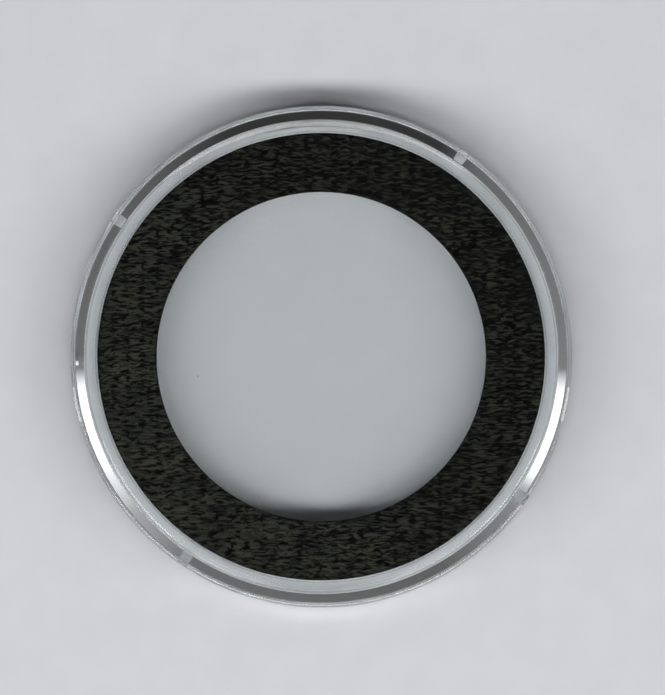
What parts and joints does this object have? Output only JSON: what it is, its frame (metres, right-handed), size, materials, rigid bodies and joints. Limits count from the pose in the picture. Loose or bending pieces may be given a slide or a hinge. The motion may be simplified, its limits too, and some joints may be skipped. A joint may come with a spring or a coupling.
{
  "type": "coin capsule",
  "caption": "Round clear coin capsule: two press-fit shells with flat windows over a black foam ring that grips a coin by its edge.",
  "frame": {"origin": "centre of the back face, which the capsule lies on", "axes": "+Z along the capsule's axis, from the back face to the front window; +X away from the front shell's gate mark"},
  "size_m": [0.0454, 0.0454, 0.006],
  "materials": {
    "clear_plastic": "water-clear acrylic, polished",
    "black_foam": "black closed-cell polyethylene foam, matt, with a fine lengthwise grain"
  },
  "bodies": {
    "base": {"back_shell": "clear_plastic"},
    "ring": {"foam_ring": "black_foam"},
    "lid": {"front_shell": "clear_plastic"}
  },
  "joints": [
    {"name": "ring_lift", "type": "slide", "parent": "base", "child": "ring", "axis": [0, 0, 1], "range_m": [0, 0.02]},
    {"name": "lid_lift", "type": "slide", "parent": "ring", "child": "lid", "axis": [0, 0, 1], "range_m": [0, 0.02]}
  ]
}
